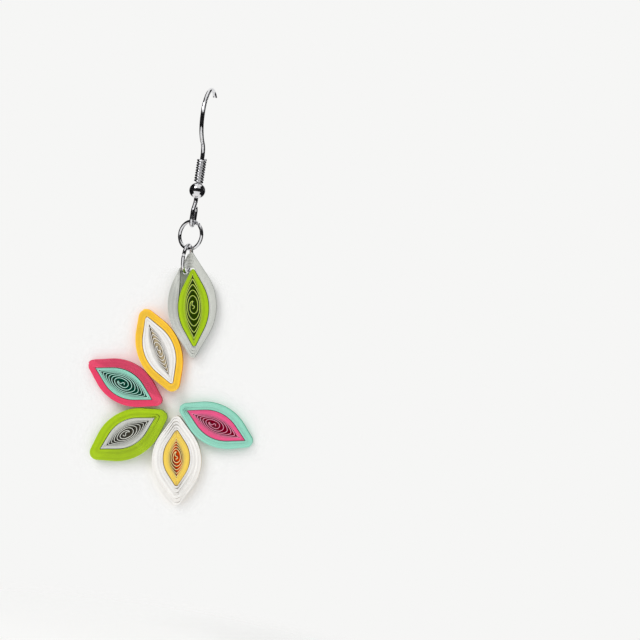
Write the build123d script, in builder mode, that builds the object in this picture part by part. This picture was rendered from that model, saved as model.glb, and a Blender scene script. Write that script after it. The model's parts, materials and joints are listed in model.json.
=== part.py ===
from build123d import *
from dataclasses import dataclass
from math import acos, asin, atan2, copysign, cos, degrees, floor, hypot, pi, radians, sin, sqrt, tan
import os

# Quilled paper drop earring: six rolled and pinched two-colour paper leaves, glued edge to edge
# in an open spray, hang from two jump rings on a fish-hook ear wire with a coil and a ball bead.
#
# Units are mm. The earring hangs as it is worn: +Z is up, the leaves lie in the XZ plane and
# face -Y, and the origin is where the ear carries the hook, under the top of its bend.

# Paper
strip_width = 2.0          # depth of every leaf, the width of a quilling strip
paper = 0.1                # thickness of one strip
turn_slit = 0.065          # air between loose turns where they bunch along a leaf's sides
roll_fit = 0.02            # glue line between a core and the band rolled round it
glue_gap = 0.05            # glue line between neighbouring leaves
flank_fullness = 0.75      # side arc of a leaf, against that of a leaf made of two plain arcs
turn_steps = 10            # straight runs in one turn of a paper coil
bow_power = 3.0            # how full the round ends of loose turns are: 2 is an oval's
centre_length = 0.7        # half length of the innermost turn
centre_width = 0.42        # least half width of the innermost turn
start_bend = ((-0.55, 0.1), (-0.3, -0.35), (0, 0), (0.35, 0.35))
                           # S bend of the strip's first end, as shares of the innermost turn

# Ear wire
wire_gauge = 0.7
wire_sides = 8             # flats that stand for round wire in the bends
arch_radius = 4.3          # centre line of the bend over the ear
front_bend = 5.1           # the two bends that bring the front of the hook back over the coil
back_bend = 2.5
leg_length = 12.5          # straight rear leg that goes through the ear
leg_chamfer = 0.12
hook_turn = 9.0            # degrees that the hook's plane is turned about Z
coil_drop = 11.0           # from the origin down to the top of the coil
coil_gauge = 0.4
coil_sides = 6
coil_steps = 8             # straight runs in one turn of the wire coil
coil_turns = 9
coil_slit = 0.02           # air between the coil's turns
coil_fit = 0.07            # air between the coil and the wire inside it
bead_diameter = 2.7
bead_fit = 0.03            # air round the wire in the bead's bore, and above the bead
neck_length = 0.6          # bare wire under the bead
loop_width = 1.94          # centre line of the loop that carries the rings
loop_height = 3.9
loop_shoulder = 1.4        # height of the sloping shoulder at the top of the loop
loop_mouth = 0.62          # where the closing end of the loop stops, from the middle
neck_bend = 0.8            # bends at the top of the loop: neck, shoulder and closing end
shoulder_bend = 1.2
closing_bend = 0.4

# Jump rings
ring_gauge = 0.6
ring_sides = 8
ring_radius = 2.3          # centre line
ring_split = 0.1           # saw cut that closes the ring
link_gap = 0.08            # play between two links that hang in each other
upper_ring_turn = 35.0     # degrees that the upper ring is turned, right side to the front
lower_ring_turn = 12.0     # degrees that the lower ring is turned, front side to the left
upper_ring_cut = 50.0      # degrees of the saw cuts above the rings' horizontal
lower_ring_cut = 10.0

# Hanging eye in the top leaf
eye_fit = 0.05             # air round the ring where it crosses the eye
eye_from_tip = 3.7        # from the leaf's tip to the eye, along the leaf
crescent_reach = 1.4       # how far above the leaf's middle the gap below the eye closes


@dataclass
class Leaf:
    """One two-colour leaf. Its long axis is local X, with the inner core shifted in it."""
    number: int
    length: float          # tip to tip over the outer band, before rounding
    width: float
    tip: float             # radius of the band's pinched tips
    core_length: float
    core_width: float
    core_tip: float        # radius of the core's pinched tips, 0 where they are creased sharp
    open_length: float     # area of the loose, open turns inside the core
    open_width: float
    tilt: float            # degrees of the long axis in the leaf plane
    side: int = 0          # +1 or -1: the flank that touches the leaf before
    before_side: int = 0   # the flank of the leaf before that it touches
    contact: float = 0.0   # degrees: direction of the touch, from the leaf before
    core_shift: tuple = (0.0, 0.0)


leaves = [
    Leaf(number=1, length=18.3, width=8.1, tip=0.5,
         core_length=13.6, core_width=5.1, core_tip=0.35,
         open_length=10.9, open_width=2.5,
         tilt=99.8, core_shift=(-0.4, -0.26)),
    Leaf(number=2, length=16.9, width=7.2, tip=1.3,
         core_length=12.4, core_width=5.0, core_tip=0.35,
         open_length=9.4, open_width=2.2,
         tilt=119.8, side=-1, before_side=1, contact=-140.0, core_shift=(0.0, -0.05)),
    Leaf(number=3, length=15.4, width=7.0, tip=1.0,
         core_length=10.7, core_width=4.4, core_tip=0,
         open_length=9.5, open_width=2.9,
         tilt=159.6, side=-1, before_side=1, contact=-130.2, core_shift=(0.1, 0.25)),
    Leaf(number=4, length=16.3, width=7.8, tip=1.3,
         core_length=10.4, core_width=4.2, core_tip=0,
         open_length=8.2, open_width=2.3,
         tilt=38.4, side=1, before_side=1, contact=-79.7, core_shift=(0.0, 0.25)),
    Leaf(number=5, length=15.9, width=8.2, tip=0.9,
         core_length=9.7, core_width=4.4, core_tip=0.35,
         open_length=6.2, open_width=1.9,
         tilt=98.6, side=1, before_side=-1, contact=-21.8, core_shift=(0.4, 0.0)),
    Leaf(number=6, length=15.3, width=6.9, tip=1.1,
         core_length=10.8, core_width=4.3, core_tip=0,
         open_length=8.4, open_width=2.5,
         tilt=161.5, side=1, before_side=-1, contact=47.8),
]

# Heights on the hanging line, from the top down
arch_z = wire_gauge / 2
spring_z = arch_z - arch_radius
coil_radius = wire_gauge / 2 + coil_fit + coil_gauge / 2
coil_pitch = coil_gauge + coil_slit
coil_bottom = -coil_drop - coil_turns * coil_pitch - coil_gauge
bead_z = coil_bottom - sqrt((bead_diameter / 2) ** 2 - coil_radius ** 2) - bead_fit
neck_z = bead_z - bead_diameter / 2 - neck_length
loop_z = neck_z - loop_height
upper_ring_z = loop_z + (wire_gauge + ring_gauge) / 2 + link_gap - ring_radius
upper_ring_low = upper_ring_z - ring_radius
lower_ring_z = upper_ring_low + ring_gauge + link_gap - ring_radius
eye_z = lower_ring_z - ring_radius

# The eye clears the ring's wire wherever it crosses the strip's width
ring_half_chord = strip_width / 2 / cos(radians(lower_ring_turn))
ring_rise = ring_radius - sqrt(ring_radius ** 2 - ring_half_chord ** 2)
ring_drift = strip_width / 2 * tan(radians(lower_ring_turn))
ring_reach = ring_gauge / 2 / cos(asin(ring_half_chord / ring_radius))
eye_radius = hypot(ring_rise, ring_drift) + ring_reach + eye_fit


# Leaf outline
# A pinched roll has round sides and straight runs to its tips, so each flank is an arc of
# flank_radius that ends flank_angle to each side of the middle, with tangents to the tips.

def flank_radius(length, width):
    full = (length ** 2 + width ** 2) / (4 * width)
    return full * flank_fullness


def flank_angle(length, width):
    drop = flank_radius(length, width) - width / 2
    return atan2(length / 2, drop) - acos(flank_radius(length, width) / hypot(length / 2, drop))


def flank_height(length, width, x):
    """Half width of the outline at x, on the arc or on the straight run beyond it."""
    radius = flank_radius(length, width)
    angle = flank_angle(length, width)
    if abs(x) < radius * sin(angle):
        return sqrt(radius ** 2 - x ** 2) - radius + width / 2
    return (length / 2 - abs(x)) * tan(angle)


def outline(length, width, tip):
    """Outline of a pinched roll, as a sketch in its own plane."""
    radius = flank_radius(length, width)
    angle = flank_angle(length, width)
    x = radius * sin(angle)
    y = flank_height(length, width, x)
    with BuildSketch(mode=Mode.PRIVATE) as shape:
        with BuildLine():
            for sign in (1, -1):
                Line((length / 2, 0), (x, sign * y))
                ThreePointArc((x, sign * y), (0, sign * width / 2), (-x, sign * y))
                Line((-x, sign * y), (-length / 2, 0))
        make_face()
        if tip:
            ends = shape.vertices().group_by(Axis.X)
            fillet(ends[0] + ends[-1], tip)
    return shape.sketch


# Loose coil inside a core

def open_turns(leaf):
    return floor((leaf.open_width / 2 - centre_width) / (paper + turn_slit))


def turn_point(leaf, angle, turns_in):
    """Point of the loose turn that lies turns_in turns inside the tight ones.

    Along the sides of the leaf the turns bunch together, and their round ends stand apart.
    """
    reach = leaf.open_length / 2
    half_length = reach - turns_in * (reach - centre_length) / open_turns(leaf)
    x = half_length * cos(angle)
    side = leaf.open_width / 2 * (1 - (x / reach) ** 2) - turns_in * (paper + turn_slit)
    return (x, copysign(side * sqrt(1 - abs(cos(angle)) ** bow_power), sin(angle)))


def coil_path(leaf):
    """Strip from its S-shaped start in the middle out to the tight turns."""
    count = open_turns(leaf) * turn_steps
    points = [(x * centre_length, y * centre_width) for x, y in start_bend]
    for step in range(count + 1):
        angle = 2 * pi * step / turn_steps
        points.append(turn_point(leaf, angle, open_turns(leaf) * (1 - step / count)))
    return points


def core_profile(leaf):
    """Core: its outer turns lie tight and read as one wall, its inner turns stand open."""
    path = coil_path(leaf)
    last_turn = path[-turn_steps - 1:]
    with BuildSketch() as profile:
        add(outline(leaf.core_length, leaf.core_width, leaf.core_tip))
        with BuildLine():
            Polyline(*last_turn, close=True)
        make_face(mode=Mode.SUBTRACT)
        with BuildLine() as strip:
            Polyline(*path)
        trace(strip.line, line_width=paper)
    return Pos(*leaf.core_shift) * profile.sketch


def eye_place(leaf):
    """Centre of the hanging eye, against the core's flank near the tip of the leaf."""
    x = leaf.length / 2 - eye_from_tip
    angle = flank_angle(leaf.core_length, leaf.core_width)
    along = x - leaf.core_shift[0]
    edge = (leaf.core_length / 2 - along) * tan(angle)
    return Vector(x, edge + (eye_radius + roll_fit) / cos(angle) + leaf.core_shift[1])


def crescent(leaf):
    """Gap between core and band that runs down from the eye."""
    eye = eye_place(leaf)
    angle = flank_angle(leaf.length, leaf.width)
    outer = eye + Vector(sin(angle), cos(angle)) * eye_radius
    end_y = flank_height(leaf.core_length, leaf.core_width, crescent_reach - leaf.core_shift[0])
    end = Vector(crescent_reach, end_y + leaf.core_shift[1])
    with BuildSketch(mode=Mode.PRIVATE) as gap:
        with BuildLine():
            Polyline(eye, outer, end, close=True)
        make_face()
    return gap.sketch


def band_profile(leaf):
    """Band of tight turns rolled round the core. The first leaf's is opened for the ring."""
    with BuildSketch() as profile:
        add(outline(leaf.length, leaf.width, leaf.tip))
        with Locations(leaf.core_shift):
            add(outline(leaf.core_length + 2 * roll_fit, leaf.core_width + 2 * roll_fit,
                        leaf.core_tip), mode=Mode.SUBTRACT)
        if leaf.number == 1:
            add(crescent(leaf), mode=Mode.SUBTRACT)
            with Locations(eye_place(leaf)):
                Circle(eye_radius, mode=Mode.SUBTRACT)
    return profile.sketch


# Places of the leaves
# Each leaf touches the one before where their flank arcs face each other, so the arcs' centres
# lie a sum of radii and the glue line apart. Vector X and Y are here the X and Z of the part.

def flank_offset(leaf, side):
    """From a leaf's middle to the centre of its flank arc."""
    inward = flank_radius(leaf.length, leaf.width) - leaf.width / 2
    return Vector(0, -side * inward).rotate(Axis.Z, leaf.tilt)


def leaf_places():
    """Middle of each leaf, measured from the hanging eye."""
    places = [-eye_place(leaves[0]).rotate(Axis.Z, leaves[0].tilt)]
    for before, leaf in zip(leaves, leaves[1:]):
        reach = flank_radius(before.length, before.width) + flank_radius(leaf.length, leaf.width)
        touch = Vector(reach + glue_gap, 0).rotate(Axis.Z, leaf.contact)
        arc_centre = places[-1] + flank_offset(before, leaf.before_side) + touch
        places.append(arc_centre - flank_offset(leaf, leaf.side))
    return places


bands = [band_profile(leaf) for leaf in leaves]
cores = [core_profile(leaf) for leaf in leaves]
places = leaf_places()

# The spray turns about the eye until its weight hangs straight below
weight = Vector(0, 0)
for leaf, place, band, core in zip(leaves, places, bands, cores):
    for profile in (band, core):
        weight += (place + profile.center(CenterOf.MASS).rotate(Axis.Z, leaf.tilt)) * profile.area
hang_turn = -90 - degrees(atan2(weight.Y, weight.X))


def leaf_plane(leaf, place):
    middle = place.rotate(Axis.Z, hang_turn)
    angle = radians(leaf.tilt + hang_turn)
    return Plane(origin=(middle.X, 0, eye_z + middle.Y), x_dir=(cos(angle), 0, sin(angle)),
                 z_dir=(0, -1, 0))


os.makedirs("parts", exist_ok=True)

# Leaves

for leaf, place, band, core in zip(leaves, places, bands, cores):
    for role, profile in (("band", band), ("core", core)):
        with BuildPart() as rolled:
            with BuildSketch(leaf_plane(leaf, place)):
                add(profile)
            extrude(amount=strip_width / 2, both=True)
        rolled.part.label = f"leaf_{leaf.number}_{role}"
        export_step(rolled.part, f"parts/{rolled.part.label}.step")

# Ear wire
# One wire: rear leg, bend over the ear, double bend back over the coil, shank and open loop.

hook_back = Vector(sin(radians(hook_turn)), cos(radians(hook_turn)), 0)
hook_plane = Plane(origin=(0, 0, 0), x_dir=hook_back, z_dir=hook_back.cross(Vector(0, 0, 1)))
bend_total = front_bend + back_bend
bend_angle = 2 * atan2(arch_radius, spring_z + coil_drop)
bend_step = 0.02           # straight left between two bends that follow each other
front_corner = spring_z - (front_bend + bend_step) * tan(bend_angle / 2)
back_corner = front_corner - arch_radius / tan(bend_angle)
half_loop = loop_width / 2
shoulder_z = neck_z - loop_shoulder

with BuildPart() as ear_wire:
    with BuildLine(hook_plane) as wire_line:
        FilletPolyline(
            (arch_radius, spring_z - bend_step),
            (arch_radius, arch_z),
            (-arch_radius, arch_z),
            (-arch_radius, front_corner),
            (0, back_corner),
            (0, neck_z),
            (-half_loop, shoulder_z),
            (-half_loop, loop_z),
            (half_loop, loop_z),
            (half_loop, shoulder_z),
            (loop_mouth, shoulder_z + loop_shoulder / 2),
            radius=[arch_radius - bend_step, arch_radius - bend_step, front_bend, back_bend,
                    neck_bend, shoulder_bend, half_loop - bend_step, half_loop - bend_step,
                    closing_bend])
    wire_path = wire_line.wire()
    with BuildSketch(Plane(origin=wire_path @ 0, z_dir=wire_path % 0)):
        RegularPolygon(wire_gauge / 2, wire_sides)
    sweep(path=wire_path)
    with BuildSketch(Plane(origin=wire_path @ 0, z_dir=(0, 0, -1))):
        Circle(wire_gauge / 2)
    extrude(amount=leg_length)
    chamfer(ear_wire.edges().sort_by(Axis.Z).filter_by(GeomType.CIRCLE)
            .filter_by(lambda edge: edge.center().Y > arch_radius / 2)[0], leg_chamfer)
ear_wire.part.label = "ear_wire"
export_step(ear_wire.part, "parts/ear_wire.step")

# Coil wound on the shank

coil_points = [(coil_radius * cos(2 * pi * step / coil_steps),
                coil_radius * sin(2 * pi * step / coil_steps),
                -coil_drop - coil_gauge / 2 - coil_pitch * step / coil_steps)
               for step in range(coil_turns * coil_steps + 1)]
with BuildPart() as wire_coil:
    with BuildLine() as coil_line:
        Polyline(*coil_points)
    coil_wire = coil_line.wire()
    with BuildSketch(Plane(origin=coil_wire @ 0, x_dir=(0, 0, 1), z_dir=coil_wire % 0)):
        RegularPolygon(coil_gauge / 2, coil_sides)
    sweep(path=coil_wire, transition=Transition.RIGHT)
wire_coil.part.label = "wire_coil"
export_step(wire_coil.part, "parts/wire_coil.step")

# Ball bead threaded on the shank

with BuildPart() as bead:
    with Locations((0, 0, bead_z)):
        Sphere(bead_diameter / 2)
        Cylinder(wire_gauge / 2 + bead_fit, bead_diameter, mode=Mode.SUBTRACT)
bead.part.label = "bead"
export_step(bead.part, "parts/bead.step")

# Jump rings

def jump_ring(height, turn, cut):
    """Ring in an upright plane turned about Z, sawn open at the angle cut above the horizontal."""
    outward = Vector(cos(radians(turn)), -sin(radians(turn)), 0)
    spoke = outward * cos(radians(cut)) + Vector(0, 0, sin(radians(cut)))
    through = Vector(-sin(radians(turn)), -cos(radians(turn)), 0)
    with BuildPart() as ring:
        with BuildSketch(Plane(origin=(0, 0, height), x_dir=spoke, z_dir=spoke.cross(through))):
            with Locations((ring_radius, 0)):
                RegularPolygon(ring_gauge / 2, ring_sides)
        revolve(axis=Axis((0, 0, height), through),
                revolution_arc=360 - degrees(ring_split / ring_radius))
    return ring.part


upper_jump_ring = jump_ring(upper_ring_z, upper_ring_turn, upper_ring_cut)
upper_jump_ring.label = "upper_jump_ring"
export_step(upper_jump_ring, "parts/upper_jump_ring.step")

lower_jump_ring = jump_ring(lower_ring_z, 90 + lower_ring_turn, lower_ring_cut)
lower_jump_ring.label = "lower_jump_ring"
export_step(lower_jump_ring, "parts/lower_jump_ring.step")

print(f"rings hinge at z {loop_z:.3f} and {upper_ring_low:.3f}, the spray at {eye_z:.3f}")
print(f"eye radius {eye_radius:.3f}, spray turned {hang_turn:.2f} degrees to hang straight")
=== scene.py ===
# %% [markdown]
# # A quilled paper drop earring
# Six leaves of rolled and pinched paper hang from a silver ear wire by two jump rings. The packed
# model is the fixed frame: it says where each leaf, ring and wire is. This lesson dresses it:
# each roll becomes one real ribbon of paper, wound turn by turn, and each wire a round one.

# %% Load the frame
import json
import math
from dataclasses import dataclass

import bpy
import numpy as np
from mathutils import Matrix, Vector, noise

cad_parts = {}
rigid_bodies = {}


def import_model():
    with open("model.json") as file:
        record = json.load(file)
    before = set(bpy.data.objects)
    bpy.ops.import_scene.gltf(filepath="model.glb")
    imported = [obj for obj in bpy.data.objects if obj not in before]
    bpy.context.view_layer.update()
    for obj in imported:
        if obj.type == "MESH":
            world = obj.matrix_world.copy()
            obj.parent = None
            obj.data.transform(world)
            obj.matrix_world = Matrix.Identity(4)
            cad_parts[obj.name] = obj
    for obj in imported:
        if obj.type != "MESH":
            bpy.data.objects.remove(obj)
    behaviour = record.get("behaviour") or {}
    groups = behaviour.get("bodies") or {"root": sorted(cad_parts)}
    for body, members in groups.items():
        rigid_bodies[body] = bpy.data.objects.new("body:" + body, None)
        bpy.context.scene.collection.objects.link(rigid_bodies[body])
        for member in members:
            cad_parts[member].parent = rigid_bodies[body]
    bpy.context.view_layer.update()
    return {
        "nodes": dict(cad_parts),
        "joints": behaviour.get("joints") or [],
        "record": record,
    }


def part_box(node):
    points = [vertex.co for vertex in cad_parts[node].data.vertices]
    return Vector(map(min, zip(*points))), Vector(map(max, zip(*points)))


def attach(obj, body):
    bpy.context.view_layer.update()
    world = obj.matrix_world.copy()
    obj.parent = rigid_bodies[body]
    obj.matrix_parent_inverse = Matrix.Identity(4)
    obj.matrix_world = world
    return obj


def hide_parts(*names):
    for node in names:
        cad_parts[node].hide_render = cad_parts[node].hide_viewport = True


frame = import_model()
MM = 0.001
joint_height = {joint["name"]: joint["pos_m"][2] / MM for joint in frame["joints"]}

# %% [markdown]
# Every piece made here stands for one node of the frame and rides on that node's body, and the
# node's own part is hidden. One function does both, so no piece can be left behind.

# %% Dress a node
bodies = {node: body for body, nodes in frame["record"]["behaviour"]["bodies"].items()
          for node in nodes}


def dress(piece, node):
    """The piece stands for the node."""
    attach(piece, bodies[node])
    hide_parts(node)
    return piece


# %% [markdown]
# ## Colours and nodes
# Colours are written as sRGB hex values, as a paint chart gives them, and one function turns
# them to the linear values that a shader works in. A second function adds any node, sets it up
# and links it, so that a material reads as a list of what it is made of.

# %% Colour and node helpers


def linear(hex_colour):
    channels = [int(hex_colour[i:i + 2], 16) / 255 for i in (1, 3, 5)]
    return tuple(c / 12.92 if c <= 0.04045 else ((c + 0.055) / 1.055) ** 2.4
                 for c in channels) + (1.0,)


def add(tree, kind, settings=None, inputs=None):
    """Adds a node. Inputs map a socket's name or number to a value or to another's output."""
    node = tree.nodes.new(kind)
    for name, value in (settings or {}).items():
        setattr(node, name, value)
    for name, value in (inputs or {}).items():
        if isinstance(value, bpy.types.NodeSocket):
            tree.links.new(value, node.inputs[name])
        else:
            node.inputs[name].default_value = value
    return node


def new_material(name):
    """Material without nodes, and its tree."""
    material = bpy.data.materials.new(name)
    material.use_nodes = True
    material.node_tree.nodes.clear()
    return material, material.node_tree


def surface(tree, shader):
    add(tree, "ShaderNodeOutputMaterial", inputs={"Surface": shader.outputs[0]})


print("mid grey in linear light:", round(linear("#808080")[0], 3))

# %% [markdown]
# ## Paper
# Quilling strips are cut from uncoated paper that is dyed right through, so a strip's face and
# its cut edge have the same colour, and the cut edge, a row of bare fibre ends, looks a little
# paler. Uncoated paper is matt: its roughness is 0.8 to 0.95, and its IOR that of cellulose,
# 1.47. Two noises give it life: fibres about 0.15 mm long, which also stand out in relief, and
# a felt-like cloudiness about a millimetre wide. Each ribbon carries two values in its mesh,
# the tone that each turn has of its own and how loosely it is wound. The second mixes in painted
# light where turns stand loose: painted shade on the faces, a painted highlight on the cut edges.

# %% Dyed paper
FIBRE = 0.15 * MM
FIBRE_CONTRAST = 0.16
FIBRE_RELIEF = 0.02 * MM
FIBRE_STRENGTH = 0.35
FELT = 1.2 * MM
FELT_CONTRAST = 0.12
PAPER_ROUGHNESS = 0.88
CELLULOSE_IOR = 1.47
IN_FACTOR, IN_FIRST, IN_SECOND, OUT_COLOUR = 0, 6, 7, 2    # sockets of a Mix node for colours


def paper_material(name, tight, loose):
    """Paper whose colour goes from the dye's at tight turns to painted light at loose ones."""
    material, tree = new_material(name)
    place = add(tree, "ShaderNodeTexCoord").outputs["Object"]
    fibres = add(tree, "ShaderNodeTexNoise",
                 inputs={"Vector": place, "Scale": 1 / FIBRE, "Detail": 3.0}).outputs["Fac"]
    felt = add(tree, "ShaderNodeTexNoise",
               inputs={"Vector": place, "Scale": 1 / FELT, "Detail": 2.0}).outputs["Fac"]
    painted_colour_share = add(tree, "ShaderNodeAttribute", {"attribute_name": "loose"}).outputs["Fac"]
    tone = add(tree, "ShaderNodeAttribute", {"attribute_name": "tone"}).outputs["Fac"]
    # painted light: the loose colour stands in for the shade deep between loose turns on a face, and
    # for a highlight on a lone cut edge
    dye_and_painted_light = add(tree, "ShaderNodeMix", {"data_type": "RGBA"},
              {IN_FACTOR: painted_colour_share, IN_FIRST: linear(tight), IN_SECOND: linear(loose)})
    cloud = add(tree, "ShaderNodeMath", {"operation": "MULTIPLY_ADD"},
                {0: felt, 1: FELT_CONTRAST, 2: 1 - FELT_CONTRAST / 2}).outputs[0]
    grain = add(tree, "ShaderNodeMath", {"operation": "MULTIPLY_ADD"},
                {0: fibres, 1: FIBRE_CONTRAST, 2: -FIBRE_CONTRAST / 2}).outputs[0]
    light = add(tree, "ShaderNodeMath", {"operation": "ADD"}, {0: cloud, 1: grain}).outputs[0]
    light = add(tree, "ShaderNodeMath", {"operation": "ADD"}, {0: light, 1: tone}).outputs[0]
    colour = add(tree, "ShaderNodeHueSaturation",
                 inputs={"Color": dye_and_painted_light.outputs[OUT_COLOUR], "Value": light})
    relief = add(tree, "ShaderNodeBump", inputs={
        "Height": fibres, "Strength": FIBRE_STRENGTH, "Distance": FIBRE_RELIEF})
    surface(tree, add(tree, "ShaderNodeBsdfPrincipled", inputs={
        "Base Color": colour.outputs[0], "Normal": relief.outputs[0],
        "Roughness": PAPER_ROUGHNESS, "IOR": CELLULOSE_IOR}))
    return material


# %% [markdown]
# Eight papers make the six leaves, each with four colours: its face, its cut edge, a painted
# shade for faces deep between loose turns, where light goes from face to face and comes back
# deeper, and a paler painted highlight for a cut edge that stands alone.

# %% The eight papers


@dataclass
class Paper:
    """Colours of one strip: its face, its cut edge, painted shade for loose faces, and a painted
    highlight for loose cut edges.
    """
    face: str
    edge: str
    painted_gap_shade: str
    painted_edge_highlight: str


papers = {
    "grey": Paper("#9EA39A", "#CDCFC8", "#3C3A30", "#DCDED4"),
    "green": Paper("#78A004", "#A9CC06", "#243800", "#C4DA60"),
    "yellow": Paper("#EE8C0C", "#FDCB34", "#C03C00", "#FFDC84"),
    "maize": Paper("#F2A020", "#FBD85C", "#C03C00", "#FFE8A0"),
    "white": Paper("#E2D5C0", "#F6F4F0", "#B0A080", "#FAF6EE"),
    "pink": Paper("#D01440", "#EE4068", "#70001C", "#F58AA4"),
    "rose": Paper("#C81444", "#F45C90", "#74001E", "#F898B8"),
    "mint": Paper("#3CAC86", "#98DCC6", "#003C2C", "#B4E8D8"),
}
paper_materials = {
    name: (paper_material(f"{name}_quilling_paper_face_with_painted_shade", paper.face, paper.painted_gap_shade),
           paper_material(f"{name}_quilling_paper_cut_edge", paper.edge, paper.painted_edge_highlight))
    for name, paper in papers.items()}
print("papers:", ", ".join(paper_materials))

# %% [markdown]
# ## Silver plate
# The findings are steel wire with a bright silver plate. It is close to a mirror: metallic 1,
# roughness about 0.1, with fine scratches from handling and a faint tarnish that makes some
# places duller. A metal keeps the default IOR.

# %% Silver plated steel
SCRATCH = 0.2 * MM
SCRATCH_RELIEF = 0.01 * MM
SCRATCH_STRENGTH = 0.12
TARNISH = 1.5 * MM
TARNISH_START, TARNISH_FULL = 0.35, 0.75    # values of the cloud noise
CLEAN_ROUGHNESS, DULL_ROUGHNESS = 0.06, 0.18


def silver_plate():
    material, tree = new_material("silver_plated_steel")
    place = add(tree, "ShaderNodeTexCoord").outputs["Object"]
    cloud = add(tree, "ShaderNodeTexNoise",
                inputs={"Vector": place, "Scale": 1 / TARNISH, "Detail": 3.0}).outputs["Fac"]
    scratch = add(tree, "ShaderNodeTexNoise",
                  inputs={"Vector": place, "Scale": 1 / SCRATCH, "Detail": 4.0}).outputs["Fac"]
    colour = add(tree, "ShaderNodeMix", {"data_type": "RGBA"},
                 {IN_FACTOR: cloud, IN_FIRST: linear("#F2F2F4"), IN_SECOND: linear("#CECED2")})
    dull = add(tree, "ShaderNodeMapRange", inputs={
        "Value": cloud, "From Min": TARNISH_START, "From Max": TARNISH_FULL,
        "To Min": CLEAN_ROUGHNESS, "To Max": DULL_ROUGHNESS})
    relief = add(tree, "ShaderNodeBump", inputs={
        "Height": scratch, "Strength": SCRATCH_STRENGTH, "Distance": SCRATCH_RELIEF})
    surface(tree, add(tree, "ShaderNodeBsdfPrincipled", inputs={
        "Base Color": colour.outputs[OUT_COLOUR], "Metallic": 1.0,
        "Roughness": dull.outputs[0], "Normal": relief.outputs[0]}))
    return material


silver = silver_plate()
print("metal:", silver.name)

# %% [markdown]
# ## What a roll is
# A quiller winds a strip on a slotted tool, lets the coil spring open, pinches it at both ends
# to an eye shape, and then winds strips of a second colour tightly round it. A pinched roll has
# round flanks and straight runs to its tips. The leaves' sizes are those of the part, in
# millimetres. How many loose turns a core has, and how hard its tips were pressed, was counted
# and judged.

# %% The six leaves
STRIP_WIDTH = 2.0
STRIP_THICKNESS = 0.105


@dataclass
class Roll:
    """Outline of a pinched roll: tip to tip before rounding, width, and tip radius."""
    length: float
    width: float
    tip: float = 0.0


@dataclass
class Leaf:
    number: int
    band: Roll
    core: Roll
    open_turns: Roll
    band_paper: str
    core_paper: str
    turns: int             # loose turns in the core
    swirl: float           # how far the innermost turn lies off the core's middle
    slits: tuple           # how wide the band's turns part at its two tips, 0 to 1
    slit_depth: float = 0  # share of the band, from its outside in, that stays closed there
    slit_lean: tuple = (0.0, 0.0)    # angle from each tip to where its slits are widest


leaves = [
    Leaf(1, Roll(18.3, 8.1, 0.5), Roll(13.6, 5.1, 0.35), Roll(11.2, 3.2), "grey", "green",
         turns=5, swirl=0.3, slits=(0.0, 0.6)),
    Leaf(2, Roll(16.9, 7.2, 1.3), Roll(12.4, 5.0, 0.35), Roll(9.6, 2.7), "yellow", "white",
         turns=6, swirl=0.0, slits=(0.2, 0.15)),
    Leaf(3, Roll(15.4, 7.0, 1.0), Roll(10.7, 4.4), Roll(9.8, 3.8), "pink", "mint",
         turns=7, swirl=0.3, slits=(0.0, 0.1)),
    Leaf(4, Roll(16.3, 7.8, 1.3), Roll(10.4, 4.2), Roll(8.8, 3.2), "green", "grey",
         turns=6, swirl=-0.3, slits=(1.0, 0.0), slit_depth=0.5),
    Leaf(5, Roll(15.9, 8.2, 0.9), Roll(9.7, 4.4, 0.35), Roll(6.7, 2.9), "white", "maize",
         turns=5, swirl=0.3, slits=(0.9, 0.8), slit_lean=(0.3, 0.45)),
    Leaf(6, Roll(15.3, 6.9, 1.1), Roll(10.8, 4.3), Roll(9.0, 3.15), "mint", "rose",
         turns=6, swirl=0.5, slits=(0.9, 0.1), slit_depth=0.4),
]
print("leaves:", ", ".join(f"{leaf.core_paper} in {leaf.band_paper}" for leaf in leaves))

# %% [markdown]
# Where each roll lies comes from the frame. Its outline looks the same after half a turn, so its
# middle is the middle of its box, and its long axis runs between its two furthest points. All
# leaf axes are taken to point up, as the part's own do.

# %% Where the rolls lie
TIP_TOLERANCE = 0.02


@dataclass
class Place:
    """Middle and long axis of a roll in the leaves' plane, where a vector's y is height."""
    middle: Vector
    axis: Vector

    def point(self, along, across, depth):
        """Point of the frame, in metres."""
        x = self.middle.x + along * self.axis.x - across * self.axis.y
        z = self.middle.y + along * self.axis.y + across * self.axis.x
        return Vector((x, depth, z)) * MM

    def inside(self, point):
        """Along and across of a point of the leaves' plane."""
        offset = point - self.middle
        return Vector((offset.dot(self.axis), -offset.x * self.axis.y + offset.y * self.axis.x))


def middle_of(node):
    """Middle of a node's box in the leaves' plane, in millimetres."""
    low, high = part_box(node)
    return Vector(((low[0] + high[0]) / 2, (low[2] + high[2]) / 2)) / MM


def place_of(node):
    """Place of a roll, by the points of its solid that lie furthest from its middle."""
    points = np.array([(v.co.x, v.co.z) for v in frame["nodes"][node].data.vertices]) / MM
    middle = np.array(middle_of(node))
    reach = np.linalg.norm(points - middle, axis=1)
    tips = points[reach > reach.max() - TIP_TOLERANCE] - middle
    tips[tips[:, 1] < 0] *= -1
    axis = Vector(tips.mean(axis=0)).normalized()
    return Place(Vector(middle), axis)


places = {leaf.number: place_of(f"leaf_{leaf.number}_band") for leaf in leaves}
for number, place in places.items():
    print(f"leaf {number}: long axis at {math.degrees(math.atan2(*place.axis.yx)):.1f} degrees")

# %% [markdown]
# ## Outlines
# A turn is followed by an angle that goes once round while the point goes from the leaf's upper
# tip down one flank and back up the other. The points crowd towards the tips, where the paper
# bends most.

# %% Outline of a roll
FLANK_FULLNESS = 0.75  # radius of a flank, against that of a leaf made of two plain arcs
TURN_STEPS = 144
angles = 2 * np.pi * np.arange(TURN_STEPS) / TURN_STEPS


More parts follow.
